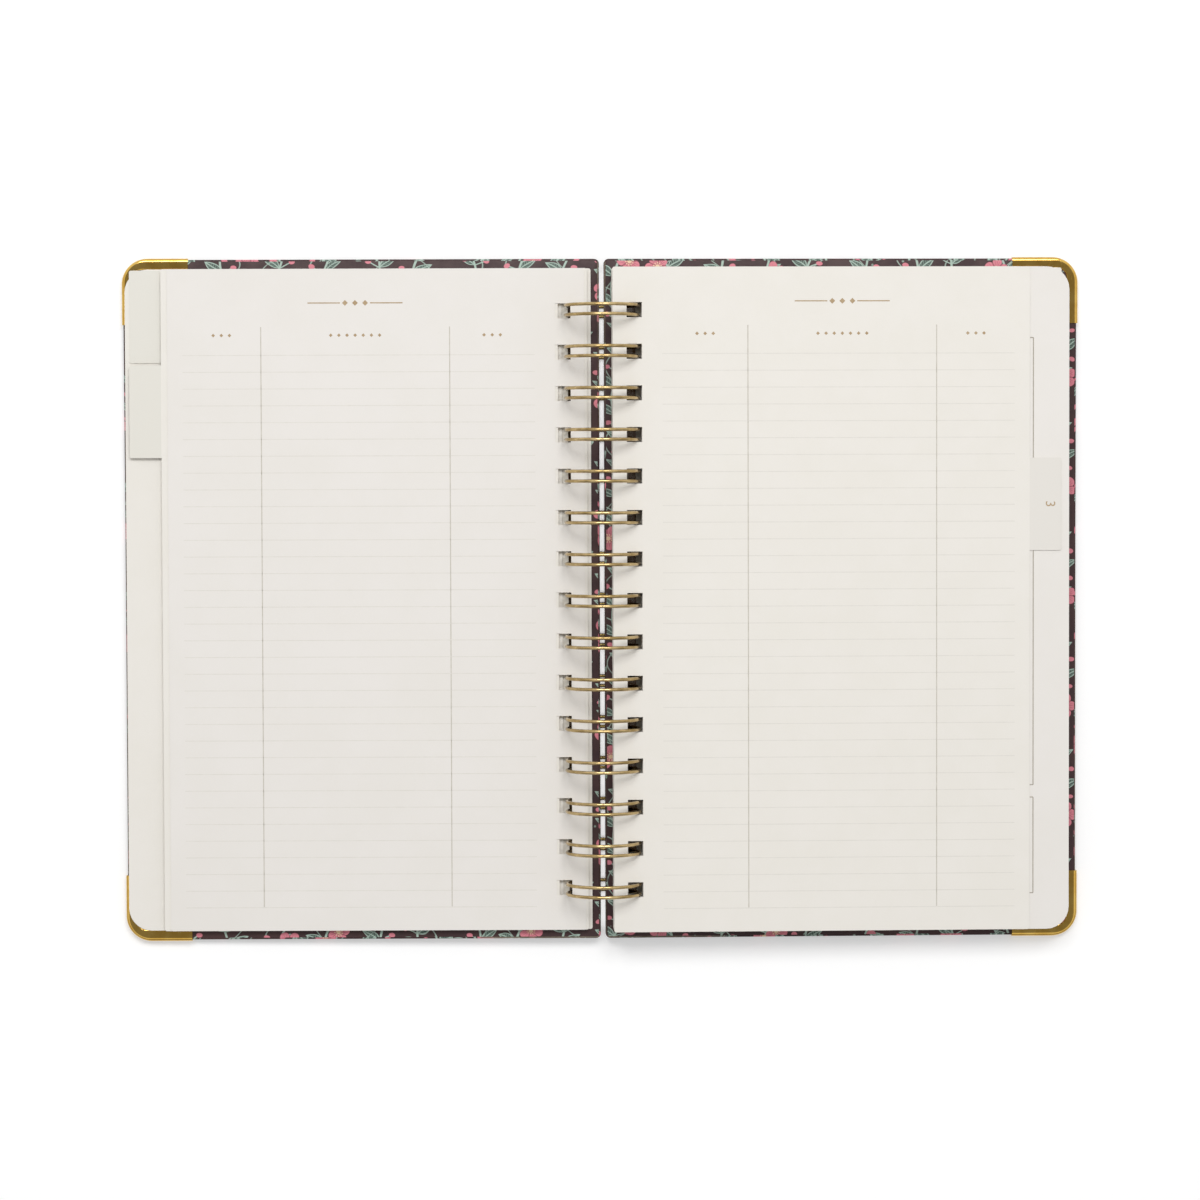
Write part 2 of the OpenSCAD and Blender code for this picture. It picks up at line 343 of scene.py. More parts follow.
paperFinish = {
    "page": {"light": "#ebe7e2", "shade": "#e9e5df", "roughness": 0.9, "mottle": 55.0,
             "fibreDepth": 0.00004},
    "card": {"light": "#ece8e1", "shade": "#eae6de", "roughness": 0.85, "mottle": 70.0,
             "fibreDepth": 0.00005},
    "lining": {"light": "#e7e3d9", "shade": "#e4dfd5", "roughness": 0.88, "mottle": 40.0,
               "fibreDepth": 0.00005},
    "greyBoard": {"light": "#8d8172", "shade": "#6f6558", "roughness": 0.95, "mottle": 300.0,
                  "fibreDepth": 0.0001},
}
# the film's colour, and how far from the spine it starts on each half
tabFinish = {
    "front": {"film": "#e2dfd6", "edge": 0.1355},
    "back": {"film": "#e4e0d9", "edge": 0.1313},
}
inkFinish = {
    "rule": ("#dfdbd3", "#e5e1da"),
    "line": ("#c4beb2", "#cfcac0"),
    "title": ("#ab9270", "#b9a384"),
    "boxLine": ("#a0988b", "#aea699"),
}
goldFinish = {
    "corner": {"bright": "#d6b15e", "deep": "#c79d48", "polish": 0.08, "rubbed": 0.15, "dent": 0.00002},
    # the wire's under colour is painted shade on its lower strands beneath the covers
    "wire": {"bright": "#c5ae80", "deep": "#9b8355", "polish": 0.13, "rubbed": 0.22, "dent": 0.00002,
             "under": "#6a5a36"},
}
papers = {name: paperMaterial(name + "Paper", **values) for name, values in paperFinish.items()}
inks = {name: inkMaterial(name + "Ink", *tints) for name, tints in inkFinish.items()}
for half, values in tabFinish.items():
    papers[half + "Tab"] = tabMaterial(half + "TabCard", **paperFinish["card"], **values)
golds = {name: goldMaterial(name + "Gold", **values) for name, values in goldFinish.items()}
print("planner: papers, inks and metals ready")


# Cover wraps: printed paper around the boards, rounded over their edges and turned in
wrapShape = {
    "edgeRadius": 0.0006,
    "edgeSteps": 4,
    "paper": 0.0002,
    "turnIn": 0.014,
    "foreRadius": 0.0075,
    "spineRadius": 0.0015,
    "cornerStep": 0.0006,
    "holeSize": (0.0046, 0.0045),
    "holeMiddle": 0.00816,
    "loopPitch": 0.0127,
    "loopPairs": 15,
    "printUnit": 0.1,
    "printShift": {"front": (0.61, 0.29), "back": (0.0, 0.0)},
    "turnInShift": (1.37, 0.53),
    "sharpAngle": 40.0,
}


def arcPoints(x, y, radius, start, step):
    # a quarter turn, counted in degrees from its start
    count = max(3, math.ceil(radius * math.pi / 2 / step))
    angles = [math.radians(start + 90 * i / count) for i in range(count + 1)]
    return [Vector((x + radius * math.cos(a), y + radius * math.sin(a))) for a in angles]


def roundedLoop(low, high, spineRadius, foreRadius, step):
    # a sheet's outline, anticlockwise, with its own radius at the spine and at the fore edge
    s, f = spineRadius, foreRadius
    return (arcPoints(high[0] - f, high[1] - f, f, 0, step)
            + arcPoints(low[0] + s, high[1] - s, s, 90, step)
            + arcPoints(low[0] + s, low[1] + s, s, 180, step)
            + arcPoints(high[0] - f, low[1] + f, f, 270, step))


def holeLoops(shape):
    # the row of square holes along the spine
    width, height = shape["holeSize"]
    loops = []
    for i in range(shape["loopPairs"]):
        middle = (i - (shape["loopPairs"] - 1) / 2) * shape["loopPitch"]
        x0, x1 = shape["holeMiddle"] - width / 2, shape["holeMiddle"] + width / 2
        y0, y1 = middle - height / 2, middle + height / 2
        loops.append([Vector((x0, y0)), Vector((x1, y0)), Vector((x1, y1)), Vector((x0, y1))])
    return loops


def isInside(point, loop):
    # counts the outline's edges that a line from the point to the right crosses
    inside = False
    for a, b in zip(loop, loop[1:] + loop[:1]):
        if (a.y > point.y) != (b.y > point.y):
            if point.x < a.x + (b.x - a.x) * (point.y - a.y) / (b.y - a.y):
                inside = not inside
    return inside


def fillFlat(bm, outer, inner, z, up):
    # a flat face between an outline and the loops cut out of it
    points, edges = [], []
    for loop in [outer] + inner:
        start = len(points)
        points += loop
        edges += [(start + i, start + (i + 1) % len(loop)) for i in range(len(loop))]
    # type 1 keeps the triangles inside the outline
    flat, _, triangles, *_ = delaunay_2d_cdt(points, edges, [], 1, flatTolerance)
    corners, faces = {}, []
    for triangle in triangles:
        middle = sum((flat[i] for i in triangle), Vector((0, 0))) / 3
        if any(isInside(middle, loop) for loop in inner):
            continue
        for i in triangle:
            if i not in corners:
                corners[i] = bm.verts.new((*flat[i], z))
        faces.append(bm.faces.new([corners[i] for i in (triangle if up else triangle[::-1])]))
    return faces


def wrapMesh(name, half, cover, shape):
    # outer face, rounded edge and turn-in as one skin, with the print's flat coordinates in a UV map
    low, high = flatBox(cover, half)
    radius, steps = shape["edgeRadius"], shape["edgeSteps"]
    bm = bmesh.new()
    printMap = bm.loops.layers.uv.new("print")

    def loopAt(inset):
        corner = Vector((inset, inset))
        return roundedLoop(low.xy + corner, high.xy - corner, shape["spineRadius"] - inset,
                           shape["foreRadius"] - inset, shape["cornerStep"])

    def onPrint(point):
        # the front half is a mirror image, which the print isn't
        x = -point.x if half == "front" else point.x
        return Vector((x, point.y)) / shape["printUnit"] + Vector(shape["printShift"][half])

    # profile of the edge from the outer face up to the turn-in: inset and height
    profile = [(radius * (1 - math.sin(a)), low.z + radius * (1 - math.cos(a))) for a in sweep(90, steps)]
    profile += [(inset, low.z + high.z - z) for inset, z in profile[::-1]]
    flatEdge, fullEdge = loopAt(radius), loopAt(0)
    rows = []
    for inset, z in profile:
        share = (radius - inset) / radius
        points = [inner.lerp(outer, share) for inner, outer in zip(flatEdge, fullEdge)]
        rows.append([bm.verts.new((*point, z)) for point in points])
    run = 0.0
    for row, nextRow in zip(rows, rows[1:]):
        step = (nextRow[0].co - row[0].co).length
        for i in range(len(row)):
            k = (i + 1) % len(row)
            face = bm.faces.new((row[i], row[k], nextRow[k], nextRow[i]))
            for loop, along in zip(face.loops, (run, run, run + step, run + step)):
                outward = loop.vert.co.xy - (low.xy + high.xy) / 2
                loop[printMap].uv = onPrint(loop.vert.co.xy + outward.normalized() * along)
        run += step
    outerFaces = fillFlat(bm, flatEdge, holeLoops(shape), low.z, False)
    inset = Vector((shape["turnIn"], shape["turnIn"]))
    window = roundedLoop(low.xy + inset, high.xy - inset, shape["spineRadius"], shape["spineRadius"],
                         shape["cornerStep"])
    turnedFaces = fillFlat(bm, flatEdge, holeLoops(shape) + [window], high.z, True)
    for faces, shift in ((outerFaces, (0, 0)), (turnedFaces, shape["turnInShift"])):
        for face in faces:
            for loop in face.loops:
                loop[printMap].uv = onPrint(loop.vert.co.xy) + Vector(shift)
    bmesh.ops.remove_doubles(bm, verts=bm.verts, dist=weldDistance)
    return meshFrom(name, bm, half)


def coverWrap(name, half, body, node, material, shape):
    piece = addObject(name, wrapMesh(name, half, node, shape), material)
    thicken(piece, shape["paper"])
    smooth(piece, shape["sharpAngle"])
    return settle(piece, body, "printed_wrap", node)


class Flow:
    # a value in a node tree, so that a pattern's sums can be written as sums
    def __init__(self, tree, socket):
        self.tree, self.socket = tree, socket

    def make(self, operation, *others):
        values = [other.socket if isinstance(other, Flow) else other for other in others]
        return Flow(self.tree, calc(self.tree, operation, self.socket, *values))

    __add__ = partialmethod(make, "ADD")
    __sub__ = partialmethod(make, "SUBTRACT")
    __mul__ = partialmethod(make, "MULTIPLY")
    __truediv__ = partialmethod(make, "DIVIDE")
    __abs__ = partialmethod(make, "ABSOLUTE")
    floor = partialmethod(make, "FLOOR")
    sine = partialmethod(make, "SINE")
    cosine = partialmethod(make, "COSINE")

    def rises(self, low, high):
        # 0 below low, 1 above high, soft between them
        return Flow(self.tree, ramp(self.tree, self.socket, low, high))

    def falls(self, low, high):
        return Flow(self.tree, ramp(self.tree, self.socket, low, high, 1.0, 0.0))

    def random(self, seed):
        # a number from 0 to 1 that belongs to this value
        sockets = {"W": (self + seed).socket}
        node = addNode(self.tree, "ShaderNodeTexWhiteNoise", sockets, noise_dimensions="1D")
        return Flow(self.tree, node.outputs["Value"])


# Inks of the printed vines, their sizes in millimetres, and the soft ends of their lines
vineFinish = {
    "ground": "#46302f",
    "groundDeep": "#3a282a",
    "leaf": "#586960",
    "leafDeep": "#46554e",
    "line": "#b2c8bb",
    "petal": "#d8828f",
    "petalDeep": "#8c4653",
    "heart": "#e7c9a6",
    "dotInk": 0.55,
    "lineInk": 0.9,
    "petalInk": 0.85,
    "mottle": 90.0,
    "roughness": (0.52, 0.42),
    "relief": 0.15,
    "fibreDepth": 0.00003,
    "blur": 0.2,
    "fineBlur": 0.15,
    "wander": 1.2,
    "wanderScales": (0.07, 0.11),
    "columnSeed": 3.7,
    "column": 15.0,
    "sway": 2.2,
    "swayLength": 34.0,
    "stem": 0.24,
    "tendrilPace": 1.5,
    "tendrilStart": 1.2,
    "tendrilReach": 1.9,
    "tendrilWidth": 0.4,
    "tendrilInk": 0.75,
    "leafSpacing": 8.5,
    "leafStart": 0.22,
    "leafLength": 6.4,
    "leafWidth": 1.35,
    "leafTaper": (-0.5, 1.25),
    "leafTilt": 42.0,
    "leafCurl": 0.03,
    "outline": 0.24,
    "rib": (0.08, 0.22),
    "veinSlope": 0.8,
    "veinSpacing": 0.8,
    "vein": (0.15, 0.45),
    "veinInk": 0.5,
    "budOut": 3.6,
    "budUp": 1.7,
    "budRadius": 0.62,
    "budLength": 0.55,
    "stalk": (0.1, 0.26),
    "stalkEnd": 0.1,
    "bloomSpacing": 17.0,
    "bloomRadius": 3.9,
    "bloomOffset": 3.2,
    "bloomTurn": 6.28,
    "bloomSeeds": (17.3, 0.4),
    "bareShare": 0.25,
    "petals": 5,
    "petalDepth": (0.42, 0.58),
    "petalPower": 0.6,
    "petalEdge": (0.1, 0.25),
    "petalSplit": (0.2, 0.42),
    "strokes": 12.5,
    "stroke": (0.3, 0.65),
    "strokeReach": (0.4, 0.9),
    "strokeInk": 0.85,
    "heartEdge": (0.6, 0.8),
    "haloRadius": 1.15,
    "haloWidth": (0.16, 0.3),
    "haloDots": 10,
    "haloDot": (0.0, 0.5),
    "dotSpacing": 4.5,
    "dotRadius": 0.3,
}


def strongest(first, *others):
    for other in others:
        first = first.make("MAXIMUM", other)
    return first


def vineLeaves(vine, across, run, wave):
    # almond leaves, by turns on both sides of the stem, with a bud on a stalk across from each
    tilt = math.radians(vine.leafTilt)
    slope = vine.budUp / vine.budOut
    fills, buds, lines = [], [], []
    for side in (1, -1):
        shift = vine.leafSpacing * side / 4
        shifted = run + shift
        base = ((shifted / vine.leafSpacing).floor() + vine.leafStart) * vine.leafSpacing
        sideways = (across - ((base - shift) * wave).sine() * vine.sway) * side
        upward = shifted - base
        along = sideways * math.cos(tilt) + upward * math.sin(tilt)
        curl = along * along * vine.leafCurl
        offset = abs(upward * math.cos(tilt) - sideways * math.sin(tilt) + curl)
        reach = along / vine.leafLength
        taper = reach * vine.leafTaper[0] + vine.leafTaper[1]
        inside = reach * (reach * -1 + 1) * taper * (4 * vine.leafWidth) - offset
        fill = inside.rises(0.0, vine.fineBlur)
        veins = abs(((along - offset * vine.veinSlope) * (math.pi / vine.veinSpacing)).sine())
        outline = inside.falls(vine.outline, vine.outline + vine.blur)
        lines.append(fill * strongest(outline, offset.falls(*vine.rib),
                                      veins.falls(*vine.vein) * vine.veinInk))
        budX, budY = sideways + vine.budOut, upward - vine.budUp
        fromBud = (budX * budX * vine.budLength + budY * budY).make("SQRT")
        buds.append(fromBud.falls(vine.budRadius, vine.budRadius + vine.fineBlur))
        stalk = abs(upward + sideways * slope).falls(*vine.stalk)
        stalk = stalk * sideways.falls(-vine.stalkEnd, 0.0)
        lines.append(stalk * sideways.rises(-vine.budOut, vine.stalkEnd - vine.budOut))
        fills.append(fill)
    return strongest(*fills), strongest(*buds), strongest(*lines)


def vineBlossoms(vine, across, run, column):
    # blossoms by turns on both sides of the stem: petals, the lines on them, and their hearts
    columnSeed, bloomSeed = vine.bloomSeeds
    cell = (run / vine.bloomSpacing + 0.5).floor()
    chance = (cell + column * columnSeed).random(bloomSeed)
    present = chance.make("GREATER_THAN", vine.bareShare)
    bloomX = across - (cell * math.pi).cosine() * vine.bloomOffset
    bloomY = run - cell * vine.bloomSpacing
    radius = (bloomX * bloomX + bloomY * bloomY).make("SQRT")
    angle = bloomY.make("ARCTAN2", bloomX) + chance * vine.bloomTurn
    lobe = abs((angle * (vine.petals / 2)).cosine())
    swell, least = (share * vine.bloomRadius for share in vine.petalDepth)
    edge = lobe.make("POWER", vine.petalPower) * swell + least
    inside = edge - radius
    petal = inside.rises(0.0, vine.fineBlur) * present
    strokes = abs((angle * vine.strokes).sine()).falls(*vine.stroke)
    strokes = strokes * (radius / edge).falls(*vine.strokeReach)
    petalLine = strongest(inside.falls(*vine.petalEdge), (lobe * radius).falls(*vine.petalSplit),
                          strokes * vine.strokeInk)
    halo = abs(radius - vine.haloRadius).falls(*vine.haloWidth)
    halo = halo * (angle * vine.haloDots).sine().rises(*vine.haloDot)
    return petal, petalLine, strongest(radius.falls(*vine.heartEdge), halo) * present


def vineMaterial(vine):
    material, tree, shader = newMaterial("vinePrint", specular=surface["paperShine"])
    sockets = {0: coords(tree, "UV"), "Scale": wrapShape["printUnit"] * 1000}
    place = addNode(tree, "ShaderNodeVectorMath", sockets, operation="SCALE").outputs[0]
    # a hand-drawn wander on every line
    x, y = (Flow(tree, part) + (Flow(tree, noise(tree, place, scale, detail=1.0)) - 0.5) * (2 * vine.wander)
            for part, scale in zip(axes(tree, place), vine.wanderScales))
    column = (x / vine.column).floor()
    across = x - (column + 0.5) * vine.column
    run = y + column.random(vine.columnSeed) * vine.swayLength
    wave = 2 * math.pi / vine.swayLength
    stem = abs(across - (run * wave).sine() * vine.sway)
    stem = stem.falls(vine.stem, vine.stem + vine.blur)

    # a fine tendril that crosses the stem
    swing = (run * (wave * vine.tendrilPace) + vine.tendrilStart).sine()
    tendril = abs(across + swing * (vine.tendrilReach * vine.sway))
    width = vine.tendrilWidth * vine.stem
    tendril = tendril.falls(width, width + vine.blur) * vine.tendrilInk

    leaf, bud, leafLine = vineLeaves(vine, across, run, wave)
    petal, petalLine, heart = vineBlossoms(vine, across, run, column)

    # small dots scattered over the ground
    scatter = addNode(tree, "ShaderNodeTexVoronoi", {"Vector": place, "Scale": 1 / vine.dotSpacing})
    spot = Flow(tree, scatter.outputs["Distance"]) * vine.dotSpacing
    dots = spot.falls(vine.dotRadius, vine.dotRadius + vine.blur)

    # the inks lie one over the other
    grain = grainOn(tree, vine.mottle)
    ink = {name: colour(value) for name, value in vars(vine).items() if isinstance(value, str)}
    green = blendColour(tree, grain["Tone"], ink["leafDeep"], ink["leaf"])
    bloom = blendColour(tree, (petalLine * vine.petalInk).socket, ink["petal"], ink["petalDeep"])
    shade = blendColour(tree, grain["Tone"], ink["groundDeep"], ink["ground"])
    layers = ((dots * vine.dotInk, ink["line"]), (leaf, green),
              (strongest(stem, tendril, leafLine) * vine.lineInk, ink["line"]),
              (bud, ink["petal"]), (petal, bloom), (heart, ink["heart"]))
    for cover, tint in layers:
        shade = blendColour(tree, cover.socket, shade, tint)
    feed(tree, shader.inputs["Base Color"], shade)
    feed(tree, shader.inputs["Roughness"], ramp(tree, grain["Tone"], 0.0, 1.0, *vine.roughness))
    bump(tree, shader, grain["Height"], vine.relief, vine.fibreDepth)
    return material


vinePaper = vineMaterial(SimpleNamespace(**vineFinish))
for half in halves:
    coverWrap(half + "CoverWrap", half, half + "_cover", half + "_wrap", vinePaper, wrapShape)
print("planner: cover wraps printed and turned in")


# Metal corners: folded sheet with a rolled rim, a flange on each face of the cover
cornerShape = {
    "metal": 0.0004,
    "skin": 0.00036,
    "arm": 0.020,
    "band": 0.0032,
    "fillet": 0.0026,
    "foreRadius": 0.0075,
    "rimRadius": 0.001,
    "rimSteps": 8,
    "lipRadius": 0.00022,
    "lipEase": 0.3,
    "fall": 0.00012,
    "fallSteps": 6,
    "armSteps": 8,
    "bendSteps": 18,
    "sharpAngle": 50.0,
}


def cornerPath(edge, top, arm, radius, steps, bendSteps):
    # along the top edge, round the corner and down the fore edge, in matching steps for every radius
    bend = Vector((edge - radius, top - radius))
    start, stop = Vector((edge - arm, top)), Vector((edge, top - arm))
    points = [start.lerp(Vector((bend.x, top)), i / steps) for i in range(steps)]
    points += [bend + radius * Vector((math.sin(a), math.cos(a))) for a in sweep(90, bendSteps)]
    return points + [Vector((edge, bend.y)).lerp(stop, (i + 1) / steps) for i in range(steps)]


def cornerMesh(name, half, node, shape, mirrored):
    low, high = flatBox(node, half)
    sign = -1 if mirrored else 1
    edge, top = high.x, (-low.y if mirrored else high.y)
    metal, arm = shape["metal"], shape["arm"] + shape["metal"]
    width = shape["band"] + metal
    steps, bendSteps = shape["armSteps"], shape["bendSteps"]
    outer = cornerPath(edge, top, arm, shape["foreRadius"] + metal, steps, bendSteps)
    inner = cornerPath(edge - width, top - width, arm - width, shape["fillet"], steps, bendSteps)
    # profile from the lower flange's inner edge round the rim to the upper one: distance in, and height
    rim, lip = shape["rimRadius"], shape["lipRadius"]
    quarter = sweep(90, shape["rimSteps"])
    # the flange falls a little from the rim to its lip
    flange, fall = width - lip - rim, shape["fall"]
    shares = [i / shape["fallSteps"] for i in range(shape["fallSteps"], 0, -1)]
    ease = lip * shape["lipEase"]
    lower = [(width, low.z + fall + lip), (width - ease, low.z + fall + ease)]
    lower += [(rim + flange * share, low.z + fall * share * share) for share in shares]
    lower += [(rim * (1 - math.sin(a)), low.z + rim * (1 - math.cos(a))) for a in quarter]
    profile = lower + [(inset, low.z + high.z - z) for inset, z in lower[::-1]]
    bm = bmesh.new()
    rows = []
    for inset, z in profile:
        points = [a.lerp(b, inset / width) for a, b in zip(outer, inner)]
        rows.append([bm.verts.new((point.x, sign * point.y, z)) for point in points])
    for row, nextRow in zip(rows, rows[1:]):
        for i in range(len(row) - 1):
            bm.faces.new((row[i], nextRow[i], nextRow[i + 1], row[i + 1]))
    if mirrored:
        bmesh.ops.reverse_faces(bm, faces=bm.faces)
    bmesh.ops.remove_doubles(bm, verts=bm.verts, dist=weldDistance)
    return meshFrom(name, bm, half)


def metalCorner(half, place):
    node = half + "_" + place + "_corner"
    mesh = cornerMesh(node, half, node, cornerShape, place == "bottom")
    piece = addObject(half + place.capitalize() + "MetalCorner", mesh, golds["corner"])
    thicken(piece, cornerShape["skin"])
    smooth(piece, cornerShape["sharpAngle"])
    return settle(piece, half + "_cover", "corner_gold", node)


for half in halves:
    for place in ("top", "bottom"):
        metalCorner(half, place)
print("planner: metal corners folded over the covers")


# Geometry node helpers
def newNodes(name, inputs):
    # a modifier's tree with its named inputs, which ends in real geometry with its material
    inputs = [("Geometry", "Geometry", None)] + inputs + [("Material", "Material", None)]
    tree, source, sink = newTree("GeometryNodeTree", name, inputs, [("Geometry", "Geometry")])
    tree.is_modifier = True
    return tree, source, sink


def endNodes(tree, source, sink, geometry):
    real = addNode(tree, "GeometryNodeRealizeInstances", {"Geometry": geometry})
    coat = addNode(tree, "GeometryNodeSetMaterial",
                   {"Geometry": real.outputs[0], "Material": source["Material"]})
    tree.links.new(coat.outputs[0], sink[0])


def runNodes(piece, tree, **values):
    # sets the inputs by their identifiers, then keeps the result as a plain mesh
    modifier = piece.modifiers.new(tree.name, "NODES")
    modifier.node_group = tree
    for socket in tree.interface.items_tree:
        if socket.in_out == "INPUT" and socket.name in values:
            modifier[socket.identifier] = values[socket.name]
    return applied(piece)


def layDown(piece, half):
    # moves a flat piece to its half of the open planner
    piece.data.transform(halves[half])
    if half == "front":
        piece.data.flip_normals()
    return piece


# Twin-loop wire: one wire that runs along the seam and goes round in pairs of loops
wireShape = {
    "diameter": 0.00105,
    "pairs": 15,
    "pitch": 0.0127,
    "strandPitch": 0.003,
    "seamAngle": -65.0,
    "tipGap": 0.0012,
    "bendRadius": 0.0012,
    "bendSteps": 8,
    "strandSteps": 60,
    "tipSteps": 14,
    "endRun": 1.5,
    "sides": 14,
}


def wirePath(shape):
    # distance round the loops and place along the spine, then the points on the loops' cylinder
    radius = axisZ - shape["diameter"] / 2
    tip, bend = shape["strandPitch"] / 2, shape["bendRadius"]
    tipStart = 2 * math.pi * radius - shape["diameter"] - shape["tipGap"] - tip
    quarter, halfTurn = sweep(90, shape["bendSteps"]), sweep(180, shape["tipSteps"])
    rise = [(bend * (1 - math.cos(a)), tip + bend * (1 - math.sin(a))) for a in quarter]
    straight, strandSteps = tipStart - bend, shape["strandSteps"]
    rise += [(bend + straight * i / strandSteps, tip) for i in range(1, strandSteps)]
    crown = [(tipStart + tip * math.sin(a), -tip * math.cos(a)) for a in halfTurn]
    pair = [(u, -v) for u, v in rise] + crown + rise[::-1]
    run = []
    for i in range(shape["pairs"]):
        middle = (i - (shape["pairs"] - 1) / 2) * shape["pitch"]
        run += [(u, middle + v) for u, v in pair]
    endRun = shape["endRun"] * shape["diameter"]
    run = [(0, run[0][1] - endRun)] + run + [(0, run[-1][1] + endRun)]
    points = []
    for u, y in run:
        angle = math.radians(shape["seamAngle"]) + u / radius
        points.append((radius * math.cos(angle), y, axisZ + radius * math.sin(angle)))
    return points


def wireNodes():
    tree, source, sink = newNodes("bentWire", [("Wire Radius", "Float", 0.0005), ("Sides", "Int", 12)])
    route = addNode(tree, "GeometryNodeMeshToCurve", {"Mesh": source["Geometry"]})
    ring = addNode(tree, "GeometryNodeCurvePrimitiveCircle",
                   {"Resolution": source["Sides"], "Radius": source["Wire Radius"]})
    tube = addNode(tree, "GeometryNodeCurveToMesh",
                   {"Curve": route.outputs[0], "Profile Curve": ring.outputs[0], "Fill Caps": True})
    even = addNode(tree, "GeometryNodeSetShadeSmooth", {"Geometry": tube.outputs[0]})
    endNodes(tree, source, sink, even.outputs[0])
    return tree


def bindingWire(shape):
    points = wirePath(shape)
    mesh = bpy.data.meshes.new("twinLoopWire")
    mesh.from_pydata(points, [(i, i + 1) for i in range(len(points) - 1)], [])
    piece = addObject("twinLoopWire", mesh)
    runNodes(piece, wireNodes(), Sides=shape["sides"], Material=golds["wire"],
             **{"Wire Radius": shape["diameter"] / 2})
    return settle(piece, "binding", "wire_gold", "twin_loop_wire")


wire = bindingWire(wireShape)
print("planner: wire bound,", len(wire.data.polygons), "faces")


# Page blocks: stacks of single sheets cut to the CAD block's outline
stackShape = {
    "sheet": 0.00010,
    "gap": 0.00003,
    "slip": 0.00013,
    "seed": 11,
    "blocks": {
        "front": ["front_pages"],
        "back": ["month_pages_" + str(i) for i in range(1, 7)],
    },
    "bodies": {"front": "front_leaves", "back": "page_block"},
}


def sheetMesh(node, half, thickness):
    # the block's top face, moved to the block's bottom and given a sheet's thickness
    low, high = flatBox(node, half)
    bm = bmesh.new()
    bm.from_mesh(frame["nodes"][node].data)
    bm.transform(halves[half].inverted())
    bmesh.ops.remove_doubles(bm, verts=bm.verts, dist=weldDistance)
    top = high.z - 10 * weldDistance
    rest = [face for face in bm.faces if any(vertex.co.z < top for vertex in face.verts)]
    bmesh.ops.delete(bm, geom=rest, context="FACES")
    bm.normal_update()
    bmesh.ops.reverse_faces(bm, faces=[face for face in bm.faces if face.normal.z < 0])
    bmesh.ops.translate(bm, verts=bm.verts, vec=(0, 0, low.z - high.z + thickness))
    bmesh.ops.solidify(bm, geom=bm.faces[:], thickness=thickness)
    return meshFrom(node + "Sheet", bm), high.z - low.z


def stackNodes():
    tree, source, sink = newNodes("sheetStack", [
        ("Sheets", "Int", 8), ("Rise", "Float", 0.00013), ("Slip", "Float", 0.0001), ("Seed", "Int", 0)])
    climb = addNode(tree, "ShaderNodeCombineXYZ", {"Z": source["Rise"]})
    line = addNode(tree, "GeometryNodeMeshLine", {"Count": source["Sheets"], "Offset": climb.outputs[0]})
    most = addNode(tree, "ShaderNodeCombineXYZ", {"X": source["Slip"], "Y": source["Slip"]})
    least = addNode(tree, "ShaderNodeVectorMath", {0: most.outputs[0], "Scale": -1.0}, operation="SCALE")
    spread = addNode(tree, "FunctionNodeRandomValue",
                     {0: least.outputs[0], 1: most.outputs[0], "Seed": source["Seed"]},
                     data_type="FLOAT_VECTOR")
    loose = addNode(tree, "GeometryNodeSetPosition",
                    {"Geometry": line.outputs[0], "Offset": spread.outputs[0]})
    pile = addNode(tree, "GeometryNodeInstanceOnPoints",
                   {"Points": loose.outputs[0], "Instance": source["Geometry"]})
    endNodes(tree, source, sink, pile.outputs[0])
    return tree


stackTree = stackNodes()
for half, nodes in stackShape["blocks"].items():
    for order, node in enumerate(nodes):
        mesh, height = sheetMesh(node, half, stackShape["sheet"])
        rise = stackShape["sheet"] + stackShape["gap"]
        count = int((height - stackShape["sheet"]) / rise) + 1
        name = "".join(word.capitalize() if k else word for k, word in enumerate(node.split("_"))) + "Stack"
        stack = addObject(name, mesh)
        runNodes(stack, stackTree, Sheets=count, Rise=(height - stackShape["sheet"]) / (count - 1),
                 Slip=stackShape["slip"], Seed=stackShape["seed"] + order, Material=papers["page"])
        layDown(stack, half)
        settle(stack, stackShape["bodies"][half], "page_paper", node)
print("planner: page blocks stacked")

# Leaves, linings and boards keep their CAD shape
leafFinish = {
    "card": ["front_leaf", "back_leaf"],
    "frontTab": ["tab_leaf_1", "tab_leaf_2"],
    "backTab": ["tab_leaf_3"] + ["month_tab_" + str(i) for i in range(1, 7)],
    "page": ["left_page", "planner_leaf"],
    "lining": ["front_endpaper", "back_endpaper"],
    "greyBoard": ["front_board", "back_board"],
}
for finish, nodes in leafFinish.items():
    for node in nodes:
        mesh = frame["nodes"][node].data
        mesh.materials.clear()
        mesh.materials.append(papers[finish])
print("planner: leaves, linings and boards finished")


# Printed rules and marks, a hair above the paper, in millimetres from a page's spine edge and the middle
printLayout = {
    "ink": 0.00002,
    "rows": {"count": 34, "first": 75.5, "step": -5.16, "from": 15.2, "to": 123.5, "width": 0.26},
    "columns": {"at": (41.4, 99.4), "from": 84.2, "to": -94.6, "width": 0.3},
    "markTurn": 45.0,
    "title": {"at": 70.4, "height": 91.5, "line": (10.0, 0.34), "lineAway": 9.6,
              "marks": 3, "spread": 3.1, "size": 1.25},
    "heads": {"height": 81.6, "at": (28.3, 70.4, 111.5), "marks": (3, 7, 3), "spread": 2.5, "size": 0.8},
    "boxes": {"from": 12.6, "to": 129.3, "spans": ((80.2, -57.4), (-61.2, -90.8)), "width": 0.3},
    "days": {"count": 6, "from": 15.6, "to": 125.0, "width": 0.24},
    "section": {"from": 12.0, "to": 120.0, "top": 90.0, "bottom": -90.0, "width": 0.3, "height": 8.0},
}


